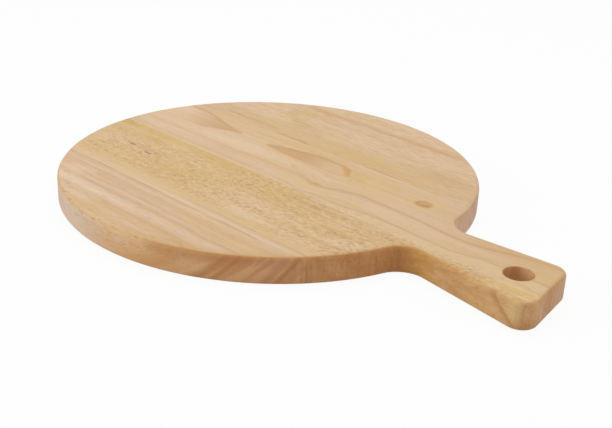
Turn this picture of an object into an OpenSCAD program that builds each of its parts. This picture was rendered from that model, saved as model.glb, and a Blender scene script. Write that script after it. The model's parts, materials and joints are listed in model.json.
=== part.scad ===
// Round pizza serving board with a flat handle: a blank edge-glued from
// solid wood staves, sawn to one outline, with every edge rounded over.
// The origin is the middle of the round plate on its underside, +Z is up
// and the handle points along +X.

/* [Plate] */
// Diameter of the round plate
plate_d = 300; // [240:5:360]
// Thickness of the whole board
board_t = 19; // [14:1:28]
// Radius of the round-over along the top and bottom edges
edge_r = 3; // [1.5:0.5:4.5]

/* [Handle] */
// Distance from the plate's rim to the middle of the handle's end
handle_l = 92.5; // [80:0.5:140]
// Width of the handle where it leaves the plate
neck_w = 40.5; // [36:0.5:56]
// Width of the handle at its end
grip_w = 61.5; // [54:0.5:76]
// Radius of the hollow curve between the plate and the handle
neck_r = 17; // [12:1:40]
// Radius of the handle's two corners
corner_r = 11; // [8:1:16]
// Angle of the sawn end, off square: the front corner reaches farther
end_slant = 13; // [0:1:16]

/* [Hanging hole] */
// Diameter of the hole
hole_d = 19; // [14:1:21]
// Distance from the middle of the handle's end to the middle of the hole
hole_inset = 23.5; // [20:0.5:34]
// Width of the broken edge at each mouth of the hole
hole_ease = 0.8; // [0.4:0.2:1.6]

/* [Staves] */
// Distance of the first glue joint from the plate's middle
front_joint_y = -88; // [-100:1:-70]
// Distance of the second glue joint from the plate's middle
middle_joint_y = -17.5; // [-18.5:0.5:-17]
// Distance of the third glue joint from the plate's middle
back_joint_y = 51; // [44:1:70]
// Distance of the fourth glue joint from the plate's middle
rear_joint_y = 119.5; // [100:0.5:130]
// Angle of the glue joints to the handle's centre line
joint_turn = 1.3; // [0:0.1:1.6]

/* [Hidden] */
$fn = 96;
// How far a cut or a slab runs past the board
overrun = 1;
// How far neighbouring pieces run into each other, so that they cross
blend = 0.05;
// Thickness of the pieces before they are trimmed to the board's
rough_t = board_t + 2 * blend;
// Width of the strips that carry the rounded edge
strip_w = corner_r;
// Share of that width by which the handle's core stays back from the edge
core_share = 0.75;
// Share of the neck's radius by which a side runs on into its curve
lap_share = 0.5;

plate_r = plate_d / 2;
handle_end_x = plate_r + handle_l;
hole_x = handle_end_x - hole_inset;
hole_r = hole_d / 2;

// The handle widens towards its end, so each side leans out by this angle
side_angle = atan((grip_w - neck_w) / 2 / handle_l);
side_run = [cos(side_angle), sin(side_angle)];
side_out = [-sin(side_angle), cos(side_angle)];
// Distance of a side's line from the origin, measured square to that line
side_offset = side_out * [plate_r, neck_w / 2];

// Middle of the neck's curve on the back: it meets the side and the plate
neck_off = side_offset + neck_r - blend;
neck_along = sqrt(pow(plate_r + neck_r - blend, 2) - pow(neck_off, 2));
neck = neck_along * side_run + neck_off * side_out;
neck_angle = atan2(neck[1], neck[0]);

// The point that lies equally deep inside a side and the end, on the back
// of a handle whose end slants back by the given angle
function inset_corner(depth, slant) =
    let (off = side_offset - depth, reach = handle_end_x * cos(slant) - depth)
    (reach - off * sin(slant - side_angle)) / cos(slant - side_angle) * side_run + off * side_out;

// The inside of the handle, on the back: set back from its edge
function core_side(slant) =
    let (depth = core_share * strip_w, reach = neck_r + depth, turn = (neck_angle + side_angle - 270) / 2)
    [neck - reach * [cos(neck_angle), sin(neck_angle)],
     neck + reach * [cos(turn), sin(turn)],
     neck - reach * side_out,
     inset_corner(depth, slant)];

// Cross-section of a strip of board: its outer edge lies on x = 0 and is
// rounded at the top and the bottom by the given radius. Straight, hollow
// and round strips get slightly different radii, so that they cross cleanly.
module edge_section(r) {
    translate([-strip_w, -blend]) square([strip_w - r, rough_t]);
    translate([-strip_w, r - blend]) square([strip_w, rough_t - 2 * r]);
    for (z = [r - blend, board_t + blend - r]) translate([-r, z]) circle(r);
}

// A round piece of board with a rounded rim
module disc(r) {
    rotate_extrude() {
        translate([r, 0]) edge_section(edge_r + 2 * blend);
        translate([0, -blend]) square([r - strip_w / 2, rough_t]);
    }
}

// A straight strip from one point to another, its outer edge on the right
module straight_edge(from, to) {
    run = to - from;
    translate([from[0], from[1], 0]) rotate([0, 0, atan2(run[1], run[0])])
        mirror([0, 1, 0]) rotate([90, 0, 90]) linear_extrude(norm(run)) edge_section(edge_r);
}

module corner_disc(slant) {
    corner = inset_corner(corner_r - blend, slant);
    translate([corner[0], corner[1], 0]) disc(corner_r);
}

module side_edge(slant) {
    corner = inset_corner(corner_r - blend, slant);
    straight_edge(corner + (corner_r - blend) * side_out,
        neck - (neck_r - blend) * side_out - lap_share * neck_r * side_run);
}

// The hollow curve between the plate and a side
module neck_edge() {
    to_plate = neck_angle - 180;
    to_side = side_angle - 90;
    translate([neck[0], neck[1], 0]) rotate([0, 0, to_plate])
        rotate_extrude(angle = to_side - to_plate) translate([neck_r, 0])
            mirror([1, 0]) edge_section(edge_r + blend);
}

module end_edge() {
    out = (corner_r - blend) * [cos(end_slant), sin(end_slant)];
    back = inset_corner(corner_r - blend, end_slant);
    front = inset_corner(corner_r - blend, -end_slant);
    straight_edge([front[0], -front[1]] + out, back + out);
}

module core() {
    front = core_side(-end_slant);
    translate([0, 0, -blend]) linear_extrude(rough_t)
        polygon([for (p = core_side(end_slant)) p, for (i = [3:-1:0]) [front[i][0], -front[i][1]]]);
}

module hanging_hole() {
    translate([hole_x, 0, -overrun]) cylinder(h = board_t + 2 * overrun, r = hole_r);
    for (z = [0, board_t]) translate([hole_x, 0, z])
        rotate_extrude() polygon([[0, -hole_ease], [hole_r, -hole_ease], [hole_r + hole_ease, 0],
            [hole_r, hole_ease], [0, hole_ease]]);
}

// Trims each of its pieces to the board's thickness and to two glue joints
module between(from_y, to_y) {
    for (i = [0:$children - 1]) intersection() {
        children(i);
        rotate([0, 0, joint_turn]) translate([-plate_r - overrun, from_y, 0])
            cube([plate_d + handle_l + grip_w, to_y - from_y, board_t]);
    }
}

// The part of the board between two glue joints
module stave(from_y, to_y) {
    difference() {
        between(from_y, to_y) {
            core();
            end_edge();
            corner_disc(end_slant);
            mirror([0, 1, 0]) corner_disc(-end_slant);
            side_edge(end_slant);
            mirror([0, 1, 0]) side_edge(-end_slant);
            neck_edge();
            mirror([0, 1, 0]) neck_edge();
            disc(plate_r);
        }
        hanging_hole();
    }
}

module front_stave() {
    color("burlywood") stave(-plate_r - overrun, front_joint_y);
}

module flecked_stave() {
    color("khaki") stave(front_joint_y, middle_joint_y);
}

module handle_stave() {
    color("wheat") stave(middle_joint_y, back_joint_y);
}

module back_stave() {
    color("tan") stave(back_joint_y, rear_joint_y);
}

module rear_stave() {
    color("burlywood") stave(rear_joint_y, plate_r + overrun);
}

front_stave();
flecked_stave();
handle_stave();
back_stave();
rear_stave();
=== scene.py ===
# %% [markdown] # A round wooden serving board The board is a blank of
# five solid wood staves, edge-glued, sawn to one outline with a handle,
# and rounded over.

# %% Load the frame
import json
import math
from types import SimpleNamespace

import bpy
import numpy as np
from mathutils import Matrix, Vector
from mathutils.geometry import tessellate_polygon


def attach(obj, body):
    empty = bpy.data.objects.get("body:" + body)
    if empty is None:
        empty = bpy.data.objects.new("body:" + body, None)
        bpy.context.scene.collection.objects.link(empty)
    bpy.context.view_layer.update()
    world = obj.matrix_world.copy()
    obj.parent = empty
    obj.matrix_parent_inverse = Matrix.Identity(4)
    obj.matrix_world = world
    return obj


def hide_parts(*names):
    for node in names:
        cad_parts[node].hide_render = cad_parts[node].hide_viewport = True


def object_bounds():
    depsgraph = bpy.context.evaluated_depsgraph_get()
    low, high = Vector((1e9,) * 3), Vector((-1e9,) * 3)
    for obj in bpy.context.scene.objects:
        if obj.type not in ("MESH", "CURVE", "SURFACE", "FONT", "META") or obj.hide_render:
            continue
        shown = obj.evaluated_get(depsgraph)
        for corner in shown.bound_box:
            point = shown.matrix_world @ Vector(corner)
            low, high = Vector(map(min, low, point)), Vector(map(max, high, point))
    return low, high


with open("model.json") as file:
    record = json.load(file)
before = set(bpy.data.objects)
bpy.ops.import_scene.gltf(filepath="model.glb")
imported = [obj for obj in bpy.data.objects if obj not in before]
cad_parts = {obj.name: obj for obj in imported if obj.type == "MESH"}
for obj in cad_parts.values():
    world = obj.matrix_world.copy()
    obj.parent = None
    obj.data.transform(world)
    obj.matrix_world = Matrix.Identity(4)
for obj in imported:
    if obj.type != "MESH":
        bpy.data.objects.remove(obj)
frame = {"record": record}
MM = 0.001

low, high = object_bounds()
print("CAD box:", np.round(low, 4), np.round(high, 4))

# %% [markdown]
# The outline has few driving sizes. The plate's radius, the thickness and
# the hanging hole come from the frame, and the rest are a maker's sizes for
# the handle, the staves and the router bits that round the edges.

# %% Driving sizes
PLATE_R = -low[0]
BOARD_T = high[2] - low[2]
HOLE = frame["record"]["mounts"][0]
HOLE_X = HOLE["pos_m"][0]
HOLE_R = HOLE["dims"]["r_mm"] * MM
HOLE_EASE = 0.8 * MM
HOLE_INSET = 23.5 * MM
HANDLE_END = HOLE_X + HOLE_INSET
HANDLE_L = HANDLE_END - PLATE_R
NECK_W = 40.5 * MM
GRIP_W = 61.5 * MM
NECK_R = 17 * MM
CORNER_R = 11 * MM
END_SLANT = math.radians(13)
EDGE_R = 3 * MM
JOINT_TURN = math.radians(1.3)
JOINTS = [-88 * MM, -17.5 * MM, 51 * MM, 119.5 * MM]
print(f"plate radius {PLATE_R:.4f}, thickness {BOARD_T:.4f}, handle end at {HANDLE_END:.4f}")

# %% [markdown]
# The outline is a chain of arcs, joined by straight runs that touch both
# neighbours. Each arc is a middle, a radius and the two directions in which
# its wall faces. A hollow arc, at the neck, has a negative radius, because
# its wall faces its middle. Numpy turns the chain into points and facings.

# %% The outline's arcs
def direction(angle):
    """The unit vector at an angle from +X."""
    return np.array([np.cos(angle), np.sin(angle)])


def board_arcs():
    """Arcs in counter-clockwise order. The sides lean out by atan((grip - neck) / 2 / length). The
    neck's middle lies its radius off the side and off the plate's rim, and each corner's middle lies the
    corner's radius inside the side and the sawn end."""
    lean = math.atan((GRIP_W - NECK_W) / 2 / HANDLE_L)
    side_facing = math.pi / 2 + lean
    run, out = direction(lean), direction(side_facing)
    side_reach = out @ [PLATE_R, NECK_W / 2]
    neck_off = side_reach + NECK_R
    neck = math.sqrt((PLATE_R + NECK_R) ** 2 - neck_off ** 2) * run + neck_off * out
    neck_facing = math.atan2(neck[1], neck[0])
    end = direction(END_SLANT)
    inside = [side_reach - CORNER_R, end[0] * HANDLE_END - CORNER_R]
    back_corner = np.linalg.solve([out, end], inside)
    front_corner = np.linalg.solve([out * [1, -1], end], inside)
    turn = 2 * math.pi
    return [
        (np.zeros(2), PLATE_R, neck_facing, turn - neck_facing),
        (neck * [1, -1], -NECK_R, turn - neck_facing, turn - side_facing),
        (front_corner, CORNER_R, turn - side_facing, turn + END_SLANT),
        (back_corner, CORNER_R, END_SLANT, side_facing),
        (neck, -NECK_R, side_facing, neck_facing),
    ]


def outline_points(step=math.radians(1.2)):
    """Each arc's points are middle + radius * facing, one for each step of turning, or for every third
    step on the small arcs."""
    points, facings = [], []
    for middle, radius, start, stop in board_arcs():
        turn = step if radius == PLATE_R else 3 * step
        angles = np.linspace(start, stop, math.ceil(abs(stop - start) / turn) + 1)
        facing = direction(angles).T
        points.append(middle + radius * facing)
        facings.append(facing)
    return np.vstack(points), np.vstack(facings)


POINTS, FACINGS = outline_points()
print("outline:", len(POINTS), "points, reach", POINTS.max(axis=0).round(4), POINTS.min(axis=0).round(4))

# %% [markdown]
# A router bit rounds the top and the bottom edge to a quarter circle. So the
# wall is a stack of levels: each has a height, and a depth by which the
# outline moves inwards there. A bevel would be uneven where it meets a joint.

# %% The rounded edge
EDGE_FLAT = 0.6 * MM


def rounded_levels(radius, flat, steps):
    """Depth and height from the underside to the top. A quarter circle has depth r(1 - sin a) and height
    r(1 - cos a); a narrow flat ring at either end keeps the shading of the flat faces even."""
    angles = np.linspace(0, math.pi / 2, steps + 1)
    depth = radius * (1 - np.sin(angles))
    height = radius * (1 - np.cos(angles))
    depth = np.concatenate([[depth[0] + flat], depth])
    height = np.concatenate([[0], height])
    return np.concatenate([depth, depth[::-1]]), np.concatenate([height, BOARD_T - height[::-1]])


EDGE_DEPTHS, EDGE_HEIGHTS = rounded_levels(EDGE_R, EDGE_FLAT, steps=8)
print(f"{len(EDGE_HEIGHTS)} levels, from {EDGE_HEIGHTS.min():.4f} up to {EDGE_HEIGHTS.max():.4f}")

# %% [markdown]
# The joints are straight lines across the outline, a little off square to
# it, as in a blank that was laid on the saw by eye. A place along the
# outline is a number that counts its points, so a cut lies between two.

# %% Where the joints meet the outline
ACROSS_GRAIN = np.array([-math.sin(JOINT_TURN), math.cos(JOINT_TURN)])


def along_outline(place, depth):
    """Points at a place along the outline, in steps between its points, moved in by depth."""
    count = len(POINTS)
    knots = np.arange(count + 1)
    place = np.mod(place, count)
    closed = [np.append(a, a[0]) for a in (*POINTS.T, *FACINGS.T)]
    x, y, facing_x, facing_y = [np.interp(place, knots, a) for a in closed]
    length = np.hypot(facing_x, facing_y)
    return np.stack([x - depth * facing_x / length, y - depth * facing_y / length], axis=-1)


def joint_places(depth, joint):
    """Places where the outline, moved in by depth, meets a joint: its distance over the joint changes
    sign, and the place between two points is found on a straight line."""
    places = np.arange(len(POINTS) + 1.0)
    over = along_outline(places, depth) @ ACROSS_GRAIN - joint
    step = np.flatnonzero((over[:-1] > 0) != (over[1:] > 0))
    return step + over[step] / (over[step] - over[step + 1])


for joint in JOINTS:
    print(f"joint at {joint:.4f} meets the outline at places", joint_places(0, joint).round(2))

# %% [markdown]
# A stave is what lies between two joints. The same number of points on every
# level makes a grid, so the rounded rim and the flat glued faces come out as
# one closed wall. A boolean cut would do it too, but leaves uneven faces.

# %% A stave's wall
def stave_loops(first, last):
    """One closed loop of points for each level: the outline's stretches between two joints, in order.
    A stretch at level j runs from its cut to the next at that level, in equal steps."""
    joints = [j for j in (first, last) if j is not None]
    cuts = np.array([np.sort(np.concatenate([joint_places(d, j) for j in joints])) for d in EDGE_DEPTHS])
    cuts = np.column_stack([cuts, cuts[:, 0] + len(POINTS)])
    stretches = []
    for start, stop in zip(cuts.T[:-1], cuts.T[1:]):
        middle = along_outline((start + stop) / 2, EDGE_DEPTHS) @ ACROSS_GRAIN
        above = first is None or middle.mean() > first
        below = last is None or middle.mean() < last
        if above and below:
            steps = np.linspace(0, 1, math.ceil(np.ptp([start[0], stop[0]])) + 2)
            place = start[:, None] + (stop - start)[:, None] * steps
            stretches.append(along_outline(place, EDGE_DEPTHS[:, None]))
    loops = np.concatenate(stretches, axis=1)
    heights = np.broadcast_to(EDGE_HEIGHTS[:, None, None], (*loops.shape[:2], 1))
    return np.concatenate([loops, heights], axis=2)


print("the front stave's wall:", stave_loops(None, JOINTS[0]).shape, "levels, points, axes")

# %% [markdown]
# The hanging hole is drilled straight through and its two mouths are broken
# with a small countersink. Its wall is a revolved profile, which turns the
# other way round than the outline, so that its faces look into the hole.

# %% The hanging hole
HOLE_FLAT = 0.4 * MM


def hole_loops(around=72):
    """The hole's wall: a ring of radius HOLE_R + depth at each height."""
    depth, height = rounded_levels(HOLE_EASE, HOLE_FLAT, steps=5)
    turn = np.linspace(0, 2 * math.pi, around, endpoint=False)
    x = HOLE_X + (HOLE_R + depth[:, None]) * np.cos(turn)
    y = -(HOLE_R + depth[:, None]) * np.sin(turn)
    return np.stack([x, y, np.broadcast_to(height[:, None], x.shape)], axis=-1)


print(f"hole: radius {HOLE_R:.4f} at x = {HOLE_X:.4f}, wall", hole_loops().shape)

# %% [markdown]
# Walls become quads between neighbouring rings, and the flat top and bottom
# become triangles between the last rings. Only the edges where a glued face
# meets the surface are sharp enough to stay hard.

# %% The staves' meshes
def grid_faces(levels, around, base):
    """Quads between neighbouring rings of points, closed around."""
    level, place = np.meshgrid(np.arange(levels - 1), np.arange(around), indexing="ij")
    after = (place + 1) % around
    corners = [level * around + place, level * around + after,
               (level + 1) * around + after, (level + 1) * around + place]
    return base + np.stack(corners, axis=-1).reshape(-1, 4)


def flat_faces(rings):
    """Triangles that fill a flat outline, less the hole where there is one, facing up."""
    triangles = np.array(tessellate_polygon([[Vector(p) for p in ring] for ring in rings]))
    points = np.vstack(rings)[:, :2]
    a, b, c = points[triangles].transpose(1, 0, 2)
    area = (b - a)[:, 0] * (c - a)[:, 1] - (b - a)[:, 1] * (c - a)[:, 0]
    triangles[area < 0] = triangles[area < 0][:, ::-1]
    return triangles


def stave_mesh(name, first, last, has_hole):
    """Closed surface of one stave: its wall, the hole's wall, and the two flat faces between them."""
    walls = [stave_loops(first, last)] + ([hole_loops()] if has_hole else [])
    vertices, faces, bottom, top = [], [], [], []
    base = 0
    for wall in walls:
        levels, around = wall.shape[:2]
        faces += grid_faces(levels, around, base).tolist()
        bottom.append(base + np.arange(around))
        top.append(base + (levels - 1) * around + np.arange(around))
        vertices.append(wall.reshape(-1, 3))
        base += levels * around
    vertices = np.vstack(vertices)
    triangles = flat_faces([wall[-1] for wall in walls])
    faces += np.concatenate(top)[triangles].tolist()
    faces += np.concatenate(bottom)[triangles][:, ::-1].tolist()
    mesh = bpy.data.meshes.new(name)
    mesh.from_pydata(vertices.tolist(), [], faces)
    mesh.shade_smooth()
    mesh.set_sharp_from_angle(angle=math.radians(35))
    return mesh


STAVES = ["front_stave", "flecked_stave", "handle_stave", "back_stave", "rear_stave"]
meshes = {}
for name, first, last in zip(STAVES, [None, *JOINTS], [*JOINTS, None]):
    meshes[name] = stave_mesh(f"{name}_wood", first, last, has_hole=name == "handle_stave")
    print(f"{name}: {len(meshes[name].vertices)} points, {len(meshes[name].polygons)} faces")

# %% [markdown]
# Solid wood is one pattern all the way through, so every finish here is a
# function of the place in the board: along the grain, across it, and up.
# Sums of such functions are easier to read as sums than as a page of nodes,
# so a small class lets a formula in Python put the Math nodes in place.

# %% Fields
def sign(operation):
    """A method for one of Python's signs, which puts in one Math node."""
    return lambda self, *others: self.math(operation, *others)


class Field:
    """A value that changes over the surface. Arithmetic on fields adds Math nodes to their tree."""

    def __init__(self, tree, socket):
        self.tree = tree
        self.socket = socket

    def math(self, operation, *others):
        """The field that one Math node gives for this one and the others."""
        node = self.tree.nodes.new("ShaderNodeMath")
        node.operation = operation
        for slot, value in zip(node.inputs, (self, *others)):
            connect(value, slot)
        return Field(self.tree, node.outputs[0])

    __add__ = __radd__ = sign("ADD")
    __sub__ = sign("SUBTRACT")
    __mul__ = sign("MULTIPLY")
    __truediv__ = sign("DIVIDE")
    __pow__ = sign("POWER")
    __abs__ = sign("ABSOLUTE")
    at_least = sign("MAXIMUM")
    at_most = sign("MINIMUM")

    def inverse(self):
        """1 less the value."""
        return self.math("MULTIPLY_ADD", -1, 1)


def connect(value, slot):
    """Links a field to a slot, or writes a plain number or colour into it."""
    if isinstance(value, Field):
        value.tree.links.new(value.socket, slot)
    else:
        slot.default_value = value


def ramp(value, start, stop):
    """0 up to start, 1 from stop on, and an S-curve between. Start may lie above stop."""
    node = value.tree.nodes.new("ShaderNodeMapRange")
    node.interpolation_type = "SMOOTHSTEP"
    connect(value, node.inputs["Value"])
    connect(start, node.inputs["From Min"])
    connect(stop, node.inputs["From Max"])
    return Field(value.tree, node.outputs["Result"])


def line(distance, width):
    """1 where the distance is 0, fading to nothing at the width on either side."""
    return ramp(abs(distance), width, 0)


def noise(x, y, z, detail=2):
    """Smooth random value around 0.5 that changes over about one unit of x, y and z."""
    place = x.tree.nodes.new("ShaderNodeCombineXYZ")
    for value, slot in zip((x, y, z), place.inputs):
        connect(value, slot)
    node = x.tree.nodes.new("ShaderNodeTexNoise")
    node.inputs["Scale"].default_value = 1
    node.inputs["Detail"].default_value = detail
    x.tree.links.new(place.outputs[0], node.inputs["Vector"])
    return Field(x.tree, node.outputs[0])


print("a field has the signs + - * / ** and:", [name for name in vars(Field) if name[0] != "_"])

# %% [markdown]
# Oiled wood of this kind runs from pale pink to golden brown. Its colours
# are written as they look on a screen, and are turned into the linear values
# that Blender takes. They could be picked by eye in Blender's colour wheel,
# but a number can be compared with a sample.

# %% Colours
def srgb(red, green, blue):
    """A colour given as it looks on a screen, 0 to 255, as the linear colour that a socket takes."""
    share = np.array([red, green, blue]) / 255
    linear = np.where(share <= 0.04045, share / 12.92, ((share + 0.055) / 1.055) ** 2.4)
    return (*linear, 1)


def paint(under, over, share, how="MIX"):
    """Lays one colour over another where the share is 1."""
    node = share.tree.nodes.new("ShaderNodeMix")
    node.data_type = "RGBA"
    node.blend_type = how
    for value, slot in zip((share, under, over), (node.inputs[0], node.inputs[6], node.inputs[7])):
        connect(value, slot)
    return Field(share.tree, node.outputs[2])


GOLDEN = srgb(212, 176, 114)
PINK = srgb(221, 186, 152)
PALE = srgb(229, 205, 172)
OLIVE = srgb(200, 164, 92)
BROWN = srgb(190, 144, 96)
print("golden wood, linear:", np.round(GOLDEN, 3))

# %% [markdown]
# The effects that every stave shares are node groups. Each is built once,
# with named inputs and outputs, and placed in a material with that stave's
# own values. The first two tell where a point lies in the board, and which
# way the surface faces there.

# %% Shared effects
def effect(name, inputs, outputs, build):
    """A node group whose outputs are worked out by build from its inputs."""
    group = bpy.data.node_groups.new(name, "ShaderNodeTree")
    for way, titles in (("INPUT", inputs), ("OUTPUT", outputs)):
        for title in titles:
            group.interface.new_socket(title, in_out=way, socket_type="NodeSocketFloat")
    start = group.nodes.new("NodeGroupInput")
    finish = group.nodes.new("NodeGroupOutput")
    fields = [Field(group, start.outputs[title]) for title in inputs]
    for title, value in zip(outputs, build(group, *fields)):
        group.links.new(value.socket, finish.inputs[title])
    print("effect:", name, "-", len(group.nodes), "nodes")
    return group


def use(group, tree, **values):
    """Places a group in a material, with its inputs by name, and gives its outputs as fields."""
    node = tree.nodes.new("ShaderNodeGroup")
    node.node_tree = group
    for title, value in values.items():
        connect(value, node.inputs[title])
    return [Field(tree, socket) for socket in node.outputs]


def place_in_board(tree):
    """Object coordinates in millimetres, turned so that Along runs with the glue joints."""
    coordinates = tree.nodes.new("ShaderNodeTexCoord")
    parts = tree.nodes.new("ShaderNodeSeparateXYZ")
    tree.links.new(coordinates.outputs["Object"], parts.inputs[0])
    x, y, z = [Field(tree, socket) / MM for socket in parts.outputs]
    cosine, sine = math.cos(JOINT_TURN), math.sin(JOINT_TURN)
    return x * cosine + y * sine, y * cosine - x * sine, z


def wall_of_board(tree):
    """All three come from where the surface faces. Side is 0 on the flat faces and 1 on the walls; End
    is the share of a wall that cuts the fibres across, which is how far it faces along the board; Curve
    is 1 half-way round the rounded edges, where Up is 0.7."""
    geometry = tree.nodes.new("ShaderNodeNewGeometry")
    parts = tree.nodes.new("ShaderNodeSeparateXYZ")
    tree.links.new(geometry.outputs["Normal"], parts.inputs[0])
    along, _, up = [abs(Field(tree, socket)) for socket in parts.outputs]
    side = ramp(up, 0.98, 0.62)
    return side, side * ramp(along, 0.1, 0.8), line(up - 0.7, 0.35)


PLACE = effect("Place in the board", [], ["Along", "Across", "Up"], place_in_board)
WALL = effect("Walls and edges", [], ["Side", "End", "Curve"], wall_of_board)

# %% [markdown]
# Three more groups draw the wood itself: its streaks, its open pores, and the
# pointed figure that a flat saw cut makes of a growth ring. Blender's wave
# texture draws rings too, but all alike and evenly spaced.

# %% Streaks, pores and flames
def streaks(tree, along, rings, across, width, length, seed):
    """Long bands with the grain: noise stretched to the given length and squeezed to the given width,
    and spread so that it runs from 0 to 1."""
    bands = noise(along / length + seed, rings / width, across / width * 0.15, detail=3)
    return (ramp(bands, 0.36, 0.64),)


def pores(tree, along, rings, across, width, length, seed):
    """Short dark vessels with the grain: only the highest part of a stretched noise counts."""
    vessels = noise(along / length + seed, rings / width, across / width, detail=1)
    return (ramp(vessels, 0.6, 0.74),)


def flame(tree, along, across, tip, level, reach, rise, risen, fall, fallen, parting):
    """A pointed figure, where the saw runs flat through a growth ring. With u from 0 at the tip to 1 at
    the far end, its upper edge rises as (u / risen) ** parting until it has risen by rise, at the share
    risen of the way. Its lower edge falls likewise, and both close as (6.5 (1 - u)) ** 0.7. Inside is 1
    within it, Outline is 1 on its edge, and Point is 1 at the pointed end."""
    u = ((along - tip) / reach).at_least(0).at_most(1)
    closing = ((u.inverse() * 6.5) ** 0.7).at_most(1)
    upper = ((u / risen) ** parting).at_most(closing) * rise
    lower = ((u / fallen) ** parting).at_most(closing) * fall
    over = across - level
    outside = (over - upper).at_least((over + lower) * -1)
    present = ramp(u, 0, 0.02) * ramp(u, 1, 0.98)
    return ramp(outside, 0.8, -1.2) * present, line(outside, 2.4) * present, ramp(u, 0.7, 0.2)


BAND = ["Along", "Rings", "Across", "Width", "Length", "Seed"]
STREAKS = effect("Grain streaks", BAND, ["Streak"], streaks)
PORES = effect("Pores", BAND, ["Pore"], pores)
FLAME_SHAPE = ["Along", "Across", "Tip", "Level", "Reach", "Rise", "Risen", "Fall", "Fallen", "Parting"]
FLAME = effect("Flame figure", FLAME_SHAPE, ["Inside", "Outline", "Point"], flame)

# %% [markdown]
# Every stave starts from the same bare wood: a base colour with broad and
# fine streaks. Growth rings lie at a slant in the stave, so the lines on top
# go over the rim as slanted stripes. The streaks follow the distance across
# the rings, and soft patches follow a drift of their own.

# %% Bare wood
def bands(wood, group, width, length, seed=0.0):
    """Streaks or pores that follow this stave's own rings."""
    return use(group, wood.tree, Along=wood.along, Rings=wood.rings, Across=wood.across,
               Width=width, Length=length, Seed=wood.seed + seed)[0]


def streaked(wood, base, pale, dark, contrast):
    """The first colour: broad, medium and hair-fine streaks, and golden and pink ones between them."""
    broad = bands(wood, STREAKS, width=11, length=420)
    medium = bands(wood, STREAKS, width=5, length=210, seed=2)
    hair = bands(wood, STREAKS, width=1.6, length=80, seed=4)
    golden = bands(wood, STREAKS, width=17, length=120, seed=6)
    colour = paint(base, pale, broad * contrast)
    colour = paint(colour, dark, medium.inverse() * (contrast * 0.75))
    colour = paint(colour, GOLDEN, golden * (contrast * 0.6))
    colour = paint(colour, PINK, ramp(wood.drift, 0, 0.16) * (contrast * 0.6))
    colour = paint(colour, dark, hair * (contrast * 0.4))
    wood.colour = paint(colour, srgb(202, 162, 112), ramp(wood.along, -40, 240) * 0.3)
    wood.hair = hair


def new_wood(name, base, pale, dark, ring_slope, seed, contrast, bend=None):
    """A material with fields for the place, the walls and the grain. Rings is the distance across the
    growth rings: on the top face it is the distance across the board, less a bend."""
    material = bpy.data.materials.new(name)
    material.use_nodes = True
    tree = material.node_tree
    along, across, up = use(PLACE, tree)
    wood = SimpleNamespace(material=material, tree=tree, seed=seed, place=(along, across, up))
    wood.along, wood.across, wood.up = wood.place
    wood.side, wood.end, wood.curve = use(WALL, tree)
    sway = noise(along / 55 + seed, across / 22, up / 22) - 0.5
    wood.rings = across + (up - BOARD_T / MM) * ring_slope + sway * 8
    if bend:
        wood.rings = wood.rings - bend(along, across)
    wood.drift = noise(along / 28 + seed, across / 12, up / 12, detail=3) - 0.5
    wood.patch_along = along + wood.drift * 40
    wood.patch_across = across + (wood.drift + sway) * 10
    streaked(wood, base, pale, dark, contrast)
    print(f"{name}: rings slope by {ring_slope}")
    return wood

# %% [markdown]
# On top of that come the stave's own features. Each is a colour that is laid
# on with a share between 0 and 1, and the share is a line, a patch or a
# noise. Places are in millimetres along and across the board, and those by a
# glue joint start from the joint, so that they move when it does. A painted
# picture would do for the top, but not for the walls.

# %% Laying on a feature
FLECKED_FROM, HANDLE_FROM, BACK_FROM, REAR_FROM = [joint / MM for joint in JOINTS]


def lay(wood, colour, share, how="MIX"):
    """Lays one more colour on the wood, where the share is above 0."""
    wood.colour = paint(wood.colour, colour, share, how)


def path(along, level, *bends):
    """A grain line's height over the board: it starts at a level, and each bend adds a rise between two
    places along the board."""
    rises = [ramp(along, start, stop) * rise for start, stop, rise in bends]
    return sum(rises, level)


def within(value, start, stop, fade):
    """1 between start and stop, fading to nothing over the fade outside them."""
    return ramp(value, start - fade, start) * ramp(value, stop + fade, stop)


def oval(along, across, middle_along, middle_across, half_length, half_width):
    """1 in the middle of an oval, fading to nothing at its edge."""
    x = (along - middle_along) / half_length
    y = (across - middle_across) / half_width
    return ramp(x * x + y * y, 1, 0)


def spot(wood, *size):
    """An oval with an even edge, for small marks."""
    return oval(wood.along, wood.across, *size)


def patches(wood, colour, *places):
    """Lays a colour in soft ovals, whose edges wander with the wood's drift. Each place is a share, and
    then the oval's middle and half sizes."""
    for share, *size in places:
        lay(wood, colour, oval(wood.patch_along, wood.patch_across, *size) * share)


print("staves start at", np.round([FLECKED_FROM, HANDLE_FROM, BACK_FROM, REAR_FROM], 1), "mm across")

# %% [markdown]
# The last layers are the same on every stave. Pores run over everything, and
# the rounded edges are rubbed golden, a darker tone that is partly painted
# shade. The walls drink more oil and look browner, most of all where they cut
# the fibres across, which also shows the rings as stripes, the marks of the saw
# and the dots of the open vessels.

# %% Pores, walls and gloss
END_TINT = srgb(250, 231, 222)
SIDE_TINT = srgb(254, 238, 207)


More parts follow.
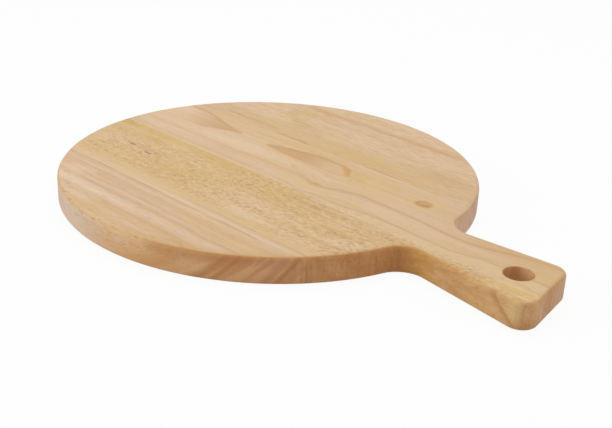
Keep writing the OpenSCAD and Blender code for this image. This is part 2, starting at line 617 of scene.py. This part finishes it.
def oil_walls_and_shaded_edges(wood, side_tint, stripe, mark):
    """Lays golden on the rounded edges, partly as painted shade, tints the walls by multiplying, then
    lays stripes, saw marks and dots on the end grain alone.
    """
    along, across, up = wood.place
    end = wood.end
    # Partly painted shade: the rounded edges are laid golden and darker.
    lay(wood, GOLDEN, wood.curve * 0.3)
    lay(wood, side_tint, wood.side, how="MULTIPLY")
    lay(wood, END_TINT, end, how="MULTIPLY")
    stripes = bands(wood, STREAKS, width=6, length=600, seed=8)
    lay(wood, srgb(148, 100, 62), stripes.inverse() * end * stripe)
    lay(wood, srgb(228, 196, 162), ramp(stripes, 0.6, 1) * end * stripe)
    marks = noise(along / 2.4, across / 2.4, up / 40, detail=1)
    lay(wood, srgb(140, 94, 60), ramp(marks, 0.48, 0.7) * end * mark)
    dots = noise(along / 3, across / 0.6, up / 0.6)
    lay(wood, srgb(140, 96, 56), ramp(dots, 0.56, 0.7) * end * 0.2)


def finish_wood(wood, side_tint=SIDE_TINT, stripe=0.15, mark=0.1):
    """Adds the pores and the walls, and gives the colour, a satin roughness and a faint relief to the
    shader. Pores lie deeper than the wood, and the hair-fine streaks stand a little proud of it."""
    pore = bands(wood, PORES, width=0.7, length=6)
    lay(wood, srgb(150, 104, 58), pore * 0.3)
    oil_walls_and_shaded_edges(wood, side_tint, stripe, mark)
    tree = wood.tree
    shader = tree.nodes["Principled BSDF"]
    connect(wood.colour, shader.inputs["Base Color"])
    connect(wood.hair * 0.06 + 0.5, shader.inputs["Roughness"])
    shader.inputs["IOR"].default_value = 1.45
    bump = tree.nodes.new("ShaderNodeBump")
    bump.inputs["Strength"].default_value = 0.15
    bump.inputs["Distance"].default_value = 0.1 * MM
    connect(wood.hair - pore, bump.inputs["Height"])
    tree.links.new(bump.outputs[0], shader.inputs["Normal"])
    print(f"{wood.material.name}: {len(tree.nodes)} nodes")


print("tints of the side and of the end grain:", np.round(SIDE_TINT, 3), np.round(END_TINT, 3))

# %% [markdown]
# The front stave is pinkish and plainly striped: two dark growth rings,
# then a light band and one more dark ring near the rim. They come out on the
# wall as slanted stripes. Noise gives stripes too, but not where the
# photograph has them, so the plainest are set one by one.

# %% Striped wood
def growth_rings(wood):
    """Dark and light lines that follow the rings, soft patches, and the short marks of cut vessels."""
    along, across, up = wood.place
    rings = wood.rings
    ring = srgb(188, 142, 102)
    lay(wood, ring, line(rings + 100, 2.5) * 0.2)
    lay(wood, ring, line(rings + 115.5, 3.5) * 0.4)
    lay(wood, srgb(231, 207, 183), line(rings + 122.6, 7) * (within(along, -100, -30, 40) * 0.3 + 0.3))
    lay(wood, srgb(200, 156, 104), line(rings + 130, 6) * within(along, -60, 60, 30) * 0.45)
    patches(wood, GOLDEN, (0.3, -15, -141, 50, 9), (0.3, 70, -102, 60, 12))
    # The second pale patch, by the rim at the front left, is painted light from the lamp on the left.
    patches(wood, PALE, (0.4, -80, -113, 26, 12), (0.35, -52, -132, 40, 10))
    short = noise(along / 12, across / 1.1, up / 1.1)
    lay(wood, srgb(190, 148, 106), ramp(short, 0.5, 0.68) * 0.25)


def striped_joint(wood):
    """A pale line along the glue joint, and a thin dark one beside it that breaks off here and there."""
    along, across, up = wood.place
    to_joint = across - FLECKED_FROM
    broken = ramp(noise(along / 40, across / 3, up / 9), 0.4, 0.6)
    lay(wood, PALE, line(to_joint + 1.3, 2.2) * 0.35)
    lay(wood, srgb(180, 132, 92), line(to_joint + 3.6, 1.8) * broken * 0.45)


def rising_rings(wood):
    """Stripes where rings rise through the wall, moving back by 0.64 of their height. Each has the place
    where it leaves the underside, and a width."""
    rising = wood.across - wood.up * 0.64
    for foot, width in ((-117, 7), (-111, 3), (-103, 2)):
        lay(wood, srgb(234, 208, 182), wood.side * line(rising - foot, width) * 0.5)
    for foot, width in ((-131, 3.5), (-126, 2), (-106, 3.6), (-100.4, 2.6)):
        lay(wood, srgb(166, 110, 70), wood.side * line(rising - foot, width) * 0.6)


striped = new_wood("striped wood", srgb(219, 186, 152), srgb(228, 201, 174), srgb(192, 150, 110),
                   ring_slope=-0.85, seed=3.1, contrast=0.45)
growth_rings(striped)
striped_joint(striped)
rising_rings(striped)

# %% [markdown]
# The front stave's wall turns from pale long grain to brown end grain, and
# the fibres along its rounded edge are torn, so that the edge is soft and
# flecked. At this size that shows as colour, so no shape is spent on it.
# Light and shade are painted on as well: the cool pale far end of the wall is
# painted light and a painted reflection, and the edge and wall by the joint
# carry painted shade.

# %% The striped wood's rim
def wall_tones_and_painted_light(wood):
    """The wall's colour changes around the rim, from the far end to the joint. The cool pale far end and
    the grey band beside it are painted light from the lamp on the left and a painted reflection of the
    white surroundings; the golden and pale tones further on are the wood's own.
    """
    along, _, up = wood.place
    side = wood.side
    # Painted light and a painted reflection: the far end of the wall, and a grey band beside it, are
    # made pale and cool.
    lay(wood, srgb(208, 202, 210), side * ramp(along, 34, -34) * 0.72)
    lay(wood, srgb(184, 178, 172), side * within(along, -95, -65, 22) * 0.4)
    lay(wood, srgb(224, 194, 142), side * ramp(along, 40, 90) * 0.25)
    pale = within(along, 22, 38, 10) * ramp(up, 6, 13) + within(along, 66, 76, 8) * ramp(up, 2, 10)
    lay(wood, srgb(222, 206, 188), side * pale * 0.4)


def torn_and_shaded_edge(wood):
    """Torn fibres darken the rounded edge in flecks. Painted shade also darkens the rounded edge evenly,
    and by the joint the edge and the wall are browner still, which is painted shade too. Both spread
    onto the top, by the distance to the rim, and down the wall, by the height."""
    along, across, up = wood.place
    side = wood.side
    torn_and_shaded_part = within(along, -110, 60, 30)
    torn = ramp(noise(along / 6, across / 3, up / 1.8, detail=3), 0.5, 0.66) * torn_and_shaded_part
    # Painted shade: an even, darker golden tone on the rounded edge.
    lay(wood, srgb(202, 166, 106), wood.curve * torn_and_shaded_part * 0.4)
    lay(wood, srgb(168, 126, 74), torn * wood.curve * 0.55)
    # Painted shade: the wall by the joint, and then its rounded edge and upper wall, are browner.
    lay(wood, srgb(176, 128, 82), side * ramp(along, 75, 100) * 0.15)
    painted_shade_edge = within(along, 52, 110, 16)
    lay(wood, srgb(172, 122, 72), wood.curve * painted_shade_edge * 0.65)
    lay(wood, srgb(184, 132, 82), side * ramp(up, 9, 16) * painted_shade_edge * 0.45)
    to_rim = (along * along + across * across) ** 0.5 * -1 + PLATE_R / MM
    on_top = side.inverse() * ramp(to_rim, 11, 2)
    # Painted shade: a darker golden band on the top, along the rim by the joint.
    lay(wood, srgb(202, 163, 106), on_top * within(along, 30, 110, 26) * 0.5)
    lay(wood, srgb(178, 136, 84), on_top * torn * 0.4)
    lay(wood, srgb(184, 142, 88), side * torn * ramp(up, 5, 14) * 0.3)


wall_tones_and_painted_light(striped)
torn_and_shaded_edge(striped)
finish_wood(striped, stripe=0.16, mark=0)

# %% [markdown]
# The second stave is yellower. Its fibres wander in and out of the face, so
# short slanted flecks catch the light, thickest in slow clouds. A sap tint
# runs by the joint, and two small dark pins of bark sit in the far end. The
# flecks are too many to draw, so two stretched and turned noises make them.

# %% Flecked wood
FLECK_SLANT = math.radians(24)


def flecks(wood):
    """Dark flecks are a noise stretched along a line at the fleck slant. Pale ones slant the other way,
    by 1 across for 5 along. They thin out by the front joint and crowd in a spot at the far end."""
    along, across, up = wood.place
    slant = along * math.cos(FLECK_SLANT) + across * math.sin(FLECK_SLANT)
    cross = across * math.cos(FLECK_SLANT) - along * math.sin(FLECK_SLANT)
    fleck = noise(slant / 3.4, cross / 1.7, up / 2)
    counter = noise(along / 4, across / 1.7 + along / 9, up / 2 + 4)
    cloud = ramp(noise(along / 30, across / 16, up / 20), 0.4, 0.62)
    strong = within(along, -120, 245, 15) * ramp(across - FLECKED_FROM, 4, 18)
    strong = strong * (wood.side * -0.5 + 1)
    lay(wood, srgb(178, 134, 78), ramp(fleck, 0.44, 0.66) * (strong * (cloud * 0.35 + 0.28) + 0.08))
    lay(wood, srgb(230, 202, 158), ramp(counter, 0.5, 0.68) * (strong * 0.25 + 0.12))
    lay(wood, srgb(180, 134, 82), spot(wood, -138, -22, 18, 6) * ramp(fleck, 0.4, 0.6) * 0.9)


def sap_and_pins(wood):
    """Tints and a dark line by the joints, two dark pins, and where the stave runs on into the handle,
    fine dark lines and a golden front edge."""
    along, across, up = wood.place
    from_front = across - FLECKED_FROM
    by_handle = across - HANDLE_FROM - 0.5
    lay(wood, srgb(206, 170, 94), within(along, -118, -30, 50) * line(by_handle, 22) * 0.6)
    for pin_along, pin_across in ((-97, -50), (-75, -53)):
        lay(wood, srgb(146, 80, 42), spot(wood, pin_along, pin_across, 5.5, 1.5) * 0.75)
    lay(wood, srgb(226, 198, 160), spot(wood, -118, -30, 8, 12) * 0.2)
    lay(wood, PALE, line(by_handle, 9) * ramp(along, 50, 100) * 0.45)
    fine = ramp(noise(along / 60, across / 1.3, up / 2), 0.5, 0.66)
    lay(wood, srgb(184, 138, 90), fine * within(along, 60, 240, 20) * ramp(across, -50, -30) * 0.4)
    lay(wood, srgb(217, 186, 150), ramp(from_front, 9, 0) * 0.6)
    lay(wood, srgb(228, 197, 122), spot(wood, 232, -25, 32, 8) * wood.side.inverse() * 0.4)
    lay(wood, srgb(184, 138, 96), line(from_front - 3, 1.5) * ramp(along, -10, 40) * 0.35)


flecked = new_wood("flecked wood", srgb(216, 181, 131), srgb(225, 195, 154), srgb(188, 148, 98),
                   ring_slope=0.5, seed=7.4, contrast=0.4)
patches(flecked, PINK, (0.4, 40, -60, 45, 16), (0.3, -110, -50, 30, 14), (0.3, 110, -75, 60, 10))
patches(flecked, OLIVE, (0.35, 10, -30, 60, 18), (0.35, 55, -36, 50, 14), (0.3, -40, -66, 70, 16),
        (0.35, -30, -55, 40, 12), (0.3, -112, -36, 44, 12))
patches(flecked, GOLDEN, (0.4, -90, -68, 50, 14), (0.4, -20, -50, 60, 14), (0.3, 100, -45, 50, 12))
patches(flecked, BROWN, (0.25, -83, -51, 24, 9), (0.2, 110, -52, 24, 7))
patches(flecked, PALE, (0.5, 50, -74, 36, 7), (0.35, 128, -54, 14, 9), (0.4, -76, -26, 20, 7))
flecks(flecked)
sap_and_pins(flecked)

# %% [markdown]
# This stave also makes the neck and the handle's front side. There the wood is
# blotched and the edge torn, and one ring sweeps down through the corner of the
# handle's end. Light and shade are painted on these walls too: a paler wall at
# the plate's far end, painted shade in the neck's hollow and on its edge, and a
# painted highlight on that corner.
# The blotches are a broad noise, and that ring alone is drawn.

# %% The flecked wood's walls
def flecked_walls_and_painted_light(wood):
    """Brown blotches, and a paler wall at the plate's far end, which is painted light from the lamp on
    the left and a painted reflection of the white surroundings. On the handle there are torn fibres on
    the edge, painted shade in the neck's hollow and on its rounded edge, a painted highlight on the
    corner at the handle's end, and a ring that sweeps down through the wall there."""
    along, across, up = wood.place
    side = wood.side
    torn = ramp(noise(along / 3, across / 2, up / 1.5, detail=3), 0.52, 0.62)
    lay(wood, srgb(176, 120, 64), torn * wood.curve * ramp(along, 130, 170) * 0.7)
    blotch = ramp(noise(along / 14, across / 14, up / 5, detail=4), 0.4, 0.62)
    lay(wood, srgb(190, 146, 90), blotch * side * 0.4)
    # Painted light and a painted reflection: the wall at the plate's far end is made pale.
    lay(wood, srgb(222, 206, 194), side * ramp(along, 20, -80) * 0.8)
    # Painted shade: the wall in the neck's hollow is darker and more golden.
    lay(wood, srgb(200, 152, 70), side * within(along, 150, 165, 15) * 0.4)
    lay(wood, srgb(226, 203, 162), side * ramp(along, 185, 220) * 0.24)
    # A painted highlight: the corner at the handle's end is paler, most of all towards the top.
    lay(wood, srgb(230, 214, 178), side * ramp(along, 228, 242) * (ramp(up, 2, 11) * 0.6 + 0.1))
    # Painted shade: the rounded edge of the neck is browner.
    lay(wood, srgb(182, 134, 80), wood.curve * within(along, 120, 162, 15) * 0.55)
    sweep = along - path(up, 238, (0, BOARD_T / MM, -16))
    arc = ramp(sweep, -7, 0) * ramp(sweep, 2, 0)
    lay(wood, srgb(164, 112, 74), arc * side * ramp(along, 200, 215) * 0.5)


flecked_walls_and_painted_light(flecked)
finish_wood(flecked, srgb(250, 233, 201), stripe=0.08, mark=0.25)

# %% [markdown]
# The handle stave is sawn flat through its rings, so they come out as
# pointed flames and long bending lines. A ring lies at a slant, so deeper in
# the wood its flame has moved on along the stave: the underside shows it
# elsewhere. Rings around a tilted axis would give all this at once, but then
# no line could be set in its place, so each is a formula of its own.

# %% Figured wood
def notch_bend(along, across):
    """How far the grain is pushed aside beside the notch: most at the notch, none by the flames."""
    bend = path(along, 0, (28, 45, -5), (45, 78, 9), (100, 172, -3), (172, 225, 11))
    return bend * within(across, -12, 8, 14)


def flames(wood):
    """Two flames, with a slow wobble in their edges. Both are dark behind the tip and paler beyond it,
    and the right one, nearer the handle, ends in golden brown."""
    along, across, up = wood.place
    depth = up * -1 + BOARD_T / MM
    place = {
        "Along": along + wood.wobble * 14 + depth * 2.5,
        "Across": across + wood.wobble * 3 + depth * 0.4,
    }
    left, left_edge, left_point = use(FLAME, wood.tree, **place, Tip=-64, Level=29, Reach=-120,
                                      Rise=14, Risen=0.48, Fall=13, Fallen=0.26, Parting=1.15)
    right, right_edge, _ = use(FLAME, wood.tree, **place, Tip=-34, Level=28.5, Reach=85,
                               Rise=12.5, Risen=0.5, Fall=4.5, Fallen=0.25, Parting=0.8)
    lay(wood, srgb(224, 191, 160), left * left_point.inverse() * 0.5 + left * left_point * 0.2)
    lay(wood, srgb(209, 172, 132), right * 0.6)
    lay(wood, srgb(192, 146, 92), (left * ramp(along, -140, -80) + right * ramp(along, 34, 2)) * 0.7)
    upper_edge = left_edge * ramp(across, 25, 30)
    edges = upper_edge.at_least(right_edge * (ramp(across, 26, 34) * 0.8 + 0.35))
    lay(wood, srgb(188, 142, 82), edges * 0.6)
    lay(wood, srgb(202, 148, 76), right * ramp(along + across * 1.2, 77, 86) * 0.85)


def bending_lines(wood):
    """The line with the notch, and the lower line, under which the wood is yellower and speckled."""
    along, across, up = wood.place
    wobble = wood.wobble
    notch = path(along, 1, (-60, 26, 3.4), (28, 45, -5.4), (45, 80, 10.2), (100, 172, -4.2),
                 (172, 225, 13))
    over_notch = across - notch + wobble * 2
    lay(wood, srgb(190, 144, 100), line(over_notch, 3) * (ramp(along, 5, 45) * 0.38 + 0.22))
    lay(wood, srgb(194, 142, 86), spot(wood, 46.5, 1, 4.5, 2.6) * 0.6)
    lower = path(along, HANDLE_FROM + 4.2, (0, 70, -1.2), (72, 108, 4), (120, 170, -1.4),
                 (170, 200, 5.4))
    over_lower = across - lower
    lower_line = line(over_lower - wobble * 2, 2)
    lay(wood, srgb(190, 146, 104), lower_line * (ramp(along, 20, 90) * 0.3 + 0.15))
    below = ramp(over_lower, 0.5, -2.5) * ramp(along, 50, 110)
    speckle = noise(along / 5, across / 1.8, up / 2, detail=3)
    lay(wood, srgb(221, 192, 146), below * 0.55)
    lay(wood, srgb(198, 160, 100), ramp(speckle, 0.48, 0.66) * below * 0.35)


figured = new_wood("figured wood", srgb(217, 185, 148), srgb(224, 198, 168), srgb(194, 154, 112),
                   ring_slope=-0.4, seed=12.7, contrast=0.45, bend=notch_bend)
figured.wobble = noise(figured.along / 20 + 3, figured.across / 8, figured.up / 9) - 0.5
patches(figured, PALE, (0.25, -112, 2, 70, 22), (0.25, -45, 12, 60, 10), (0.4, -140, 34, 20, 10))
patches(figured, GOLDEN, (0.5, 20, 34, 95, 22), (0.2, 72, 32, 24, 14), (0.4, -70, 43, 70, 8),
        (0.4, 210, 16, 40, 12), (0.4, 236, -4, 14, 20), (0.3, 80, 18, 40, 12), (0.4, 60, -8, 70, 9))
patches(figured, PINK, (0.4, 120, 8, 50, 16), (0.4, 150, 2, 60, 9))
patches(figured, OLIVE, (0.3, 57, 31, 14, 12), (0.25, 8, 47, 50, 7))
patches(figured, BROWN, (0.3, 14, 12, 7, 4), (0.22, 200, 14, 34, 9))
flames(figured)
bending_lines(figured)

# %% [markdown]
# By the handle there is a small knot, the foot of a twig, which goes right
# through the board: an oval of place alone, so it needs no depth. The walls
# are paler towards the back, which is painted light and a painted reflection,
# and the sawn end has a browner middle.

# %% The knot, and the figured wood's walls
def knot(wood):
    """An oval whose value is 0 in the middle and 1 on its rim: a golden halo, a brown rim, darkest on
    the far side from the handle, and a heart that is lighter towards the back."""
    knot_along, knot_across = 117.3, 31.5
    along, across = wood.along - knot_along, wood.across - knot_across
    ring = ((along / 6.2) ** 2 + (across / 4.9) ** 2) ** 0.5
    lay(wood, GOLDEN, ramp(ring, 2.8, 0.9) * 0.5)
    lay(wood, srgb(194, 144, 88), ramp(ring, 1.3, 0.7) * 0.75)
    lay(wood, srgb(158, 106, 60), line(ring - 0.8, 0.5) * (ramp(along, 4.7, -8.3) * 0.4 + 0.1))
    lay(wood, srgb(206, 160, 110), oval(along, across, -2.3, 1.7, 4.5, 2.2) * 0.5)
    lay(wood, srgb(172, 118, 68), oval(along, across, 2.2, -1.5, 5, 3.4) * 0.5)


def figured_walls_and_painted_light(wood):
    """A browner middle on the sawn end; paler, greyer walls towards the back, palest in the neck's
    hollow, which are painted light and a painted reflection of the white surroundings; painted shade on
    the rounded edge of that hollow; and painted light on the wall in the hole, which lifts it out of its
    shade."""
    along, across, _ = wood.place
    side = wood.side
    lay(wood, srgb(186, 146, 116), side * line(across + 10, 11) * 0.5)
    # Painted light and a painted reflection: the walls are paler and greyer towards the back, and palest
    # in the neck's hollow.
    lay(wood, srgb(206, 194, 196), side * ramp(across, -4, 20) * 0.62)
    lay(wood, srgb(238, 224, 216), side * ramp(across, 16, 26) * ramp(along, 175, 160) * 0.45)
    # Painted shade: the rounded edge of the neck's hollow is browner.
    lay(wood, srgb(182, 142, 92), wood.curve * ramp(across, 12, 20) * within(along, 146, 166, 6) * 0.5)
    hole_along = HOLE_X * math.cos(JOINT_TURN) / MM
    hole_across = -HOLE_X * math.sin(JOINT_TURN) / MM
    to_hole = ((along - hole_along) ** 2 + (across - hole_across) ** 2) ** 0.5
    to_bore = to_hole - HOLE_R / MM
    # Painted light: the wall in the hole is made lighter, against its shade.
    lay(wood, srgb(240, 217, 186), side * ramp(to_bore, 3.5, 1.5) * 0.6)


knot(figured)
figured_walls_and_painted_light(figured)
finish_wood(figured)

# %% [markdown]
# The two staves at the back are the plainest, and cut from the same plank,
# so one wood serves both: quiet streaks with short vessel marks, a few thin
# dark dashes by the front joint, a brown ring at the rear one, and a yellow
# patch or two.

# %% Plain wood
def dashes(wood):
    """Thin dark lines that wander a little across the grain, each between two places along it: four just
    behind the front joint, and the brown ring at the rear one."""
    along, across, up = wood.place
    wander = across + noise(along / 14, across / 9, up / 9) * 5 - 2.5
    behind = wander - BACK_FROM
    dash = srgb(172, 130, 80)
    lay(wood, dash, within(along, -42, -18, 8) * line(behind - 2, 2) * 0.6)
    lay(wood, srgb(196, 156, 120), within(along, -66, -44, 8) * line(behind - 0.5, 2) * 0.4)
    lay(wood, dash, within(along, 50, 70, 8) * line(behind - 1.5, 1.6) * 0.5)
    lay(wood, dash, within(along, -105, -60, 14) * line(behind - 8, 2.5) * 0.3)
    lay(wood, srgb(192, 142, 98), within(along, -66, 70, 20) * line(wander - REAR_FROM, 6) * 0.5)


def vessel_marks(wood):
    """Short dark marks of cut vessels, pale wood between, and a golden band behind the front joint."""
    along, across, up = wood.place
    short = noise(along / 9, across / 1.1, up / 1.1)
    lay(wood, srgb(184, 142, 94), ramp(short, 0.5, 0.68) * 0.4)
    lay(wood, PALE, ramp(short, 0.48, 0.34) * 0.25)
    band = line(wood.patch_across - BACK_FROM - 8, 30)
    lay(wood, GOLDEN, band * within(along, -70, 80, 50) * 0.5)
    lay(wood, BROWN, band * 0.18)


plain = new_wood("plain wood", srgb(216, 184, 143), srgb(224, 198, 168), srgb(192, 152, 110),
                 ring_slope=0.7, seed=21.5, contrast=0.42)
patches(plain, PINK, (0.4, 75, 103, 40, 14), (0.4, -95, 95, 30, 18), (0.5, 30, 140, 40, 12))
patches(plain, PALE, (0.3, -80, 84, 18, 8), (0.2, 15, 90, 25, 8))
patches(plain, GOLDEN, (0.6, 30, 67, 48, 12), (0.4, -110, 66, 35, 10), (0.4, -60, 110, 16, 12))
patches(plain, OLIVE, (0.4, -68, 96, 12, 18), (0.4, -56, 80, 16, 12), (0.3, 35, 64, 40, 10))
patches(plain, BROWN, (0.35, 95, 78, 36, 12), (0.25, -40, 75, 30, 10), (0.2, -50, 108, 40, 10),
        (0.22, -5, 65, 34, 8), (0.22, 62, 60, 34, 9))
vessel_marks(plain)
# A painted highlight: the rounded edges of the back staves are paler.
lay(plain, srgb(222, 200, 184), plain.curve * 0.5)
dashes(plain)
# Painted light and a painted reflection: the walls of the back staves are paler and greyer.
lay(plain, srgb(206, 195, 204), plain.side * 0.58)
finish_wood(plain)

# %% [markdown]
# Now each stave gets its wood. The planks of the real blank don't match, and
# that alone shows its joints. So each stave is an object of its own, which
# rides on the board's one body and stands for the CAD solid of its name.

# %% Glue up the blank
def add_object(name, data):
    """A new object in the scene, for a mesh, a camera or a lamp."""
    added = bpy.data.objects.new(name, data)
    bpy.context.scene.collection.objects.link(added)
    return added


def glued_stave(node, wood):
    """The stave's object, at the frame's origin: its mesh is already in place."""
    mesh = meshes[node]
    mesh.materials.append(wood.material)
    stave = add_object(mesh.name, mesh)
    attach(stave, "root")
    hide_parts(node)
    print(f"{node}: {wood.material.name}, {np.round(stave.dimensions, 4)}")


for name, wood in zip(STAVES, [striped, flecked, figured, plain, plain]):
    glued_stave(name, wood)

# %% [markdown]
# The camera stands where the photograph's did: well above the table, off the
# front corner, close enough that the near handle looks a little larger. Its
# place and lens were fitted to the outline, which is more exact than the eye.

# %% Camera
CAMERA_AIM = Vector((79.0, -39.5, 19.0)) * MM
CAMERA_AZIMUTH = math.radians(45.37)
CAMERA_ELEVATION = math.radians(23.81)
CAMERA_DISTANCE = 687.3 * MM
CAMERA_ROLL = math.radians(2.64)
CAMERA_LENS = 62.3


def photo_camera():
    """The camera stands on a sphere around its aim, looks at it, and rolls about its own axis."""
    level = math.cos(CAMERA_ELEVATION)
    back = Vector((math.sin(CAMERA_AZIMUTH) * level, -math.cos(CAMERA_AZIMUTH) * level,
                   math.sin(CAMERA_ELEVATION)))
    data = bpy.data.cameras.new("camera")
    data.lens = CAMERA_LENS
    data.sensor_width = 36
    camera = add_object("camera", data)
    upright = back.to_track_quat("Z", "Y").to_matrix().to_4x4()
    camera.matrix_world = (Matrix.Translation(CAMERA_AIM + back * CAMERA_DISTANCE) @ upright
                           @ Matrix.Rotation(CAMERA_ROLL, 4, "Z"))
    bpy.context.scene.camera = camera
    return camera


camera = photo_camera()
print("camera at", np.round(camera.matrix_world.translation, 3))

# %% [markdown]
# The light is a product shot's: a wide soft lamp overhead, a weaker one low on
# the left, which models the walls, and a faint one behind. Discs this wide
# leave only a soft shadow under the board.

# %% Lamps
def lamp(name, place, aim, size, watts):
    """A round area lamp at a place, turned to face its aim."""
    data = bpy.data.lights.new(name, "AREA")
    data.shape = "DISK"
    data.size = size
    data.energy = watts
    light = add_object(name, data)
    facing = (Vector(aim) - Vector(place)).to_track_quat("-Z", "Y").to_matrix().to_4x4()
    light.matrix_world = Matrix.Translation(place) @ facing
    print(f"{name}: {size} m wide, {watts} W")


lamp("overhead softbox", (-0.1, 0.2, 1.6), (0.02, 0, 0), 1.6, 14.7)
lamp("left softbox", (-0.72, -1.32, 0.55), (0, 0, 0), 0.9, 8.7)
lamp("back light", (1.2, 0.8, 0.6), (0.1, 0, 0), 0.9, 3)

# %% [markdown]
# A white background must not light the wood too brightly. So the world and
# the floor are white only for rays that come from the camera, from gloss or
# from glass. The wood itself is lit by a dimmer world, and the floor keeps a
# small share of its own shading, which is the board's shadow.

# %% World and floor
WHITE = (1, 1, 1, 1)
WORLD_STRENGTH = 0.36
FLOOR_GREY = (0.85, 0.85, 0.85, 1)
FLOOR_WHITE_SHARE = 0.94
FLOOR_HALF = 6
FLOOR_GAP = 0.2 * MM


def seen_as_white(tree, lit, plain, share):
    """Mixes a lit shader with a plain white one, by the share, for rays from camera, gloss and glass."""
    rays = tree.nodes.new("ShaderNodeLightPath")
    kinds = ("Is Camera Ray", "Is Glossy Ray", "Is Transmission Ray")
    from_camera, from_gloss, from_glass = [Field(tree, rays.outputs[kind]) for kind in kinds]
    seen = from_camera.at_least(from_gloss).at_least(from_glass) * share
    white = tree.nodes.new(plain)
    white.inputs["Color"].default_value = WHITE
    white.inputs["Strength"].default_value = 1
    mix = tree.nodes.new("ShaderNodeMixShader")
    connect(seen, mix.inputs[0])
    tree.links.new(lit, mix.inputs[1])
    tree.links.new(white.outputs[0], mix.inputs[2])
    return mix.outputs[0]


def studio_world():
    """A dim white world that looks bright only to the camera."""
    world = bpy.data.worlds.new("studio")
    world.use_nodes = True
    tree = world.node_tree
    light = tree.nodes["Background"]
    light.inputs["Color"].default_value = WHITE
    light.inputs["Strength"].default_value = WORLD_STRENGTH
    sky = seen_as_white(tree, light.outputs[0], "ShaderNodeBackground", 1)
    tree.links.new(sky, tree.nodes["World Output"].inputs["Surface"])
    return world


def studio_floor():
    """A square just under the board, so that the floor and the underside don't share one plane."""
    material = bpy.data.materials.new("studio floor")
    material.use_nodes = True
    tree = material.node_tree
    shader = tree.nodes["Principled BSDF"]
    shader.inputs["Base Color"].default_value = FLOOR_GREY
    shader.inputs["Roughness"].default_value = 0.9
    surface = seen_as_white(tree, shader.outputs[0], "ShaderNodeEmission", FLOOR_WHITE_SHARE)
    tree.links.new(surface, tree.nodes["Material Output"].inputs["Surface"])
    signs = ((-1, -1), (1, -1), (1, 1), (-1, 1))
    corners = [(x * FLOOR_HALF, y * FLOOR_HALF, -FLOOR_GAP) for x, y in signs]
    mesh = bpy.data.meshes.new("floor")
    mesh.from_pydata(corners, [], [(0, 1, 2, 3)])
    mesh.materials.append(material)
    floor = add_object("floor", mesh)
    return floor


bpy.context.scene.world = studio_world()
floor = studio_floor()
bpy.context.scene.view_settings.view_transform = "Standard"
print("floor:", np.round(floor.dimensions, 4), "world strength", WORLD_STRENGTH)

# %% [markdown]
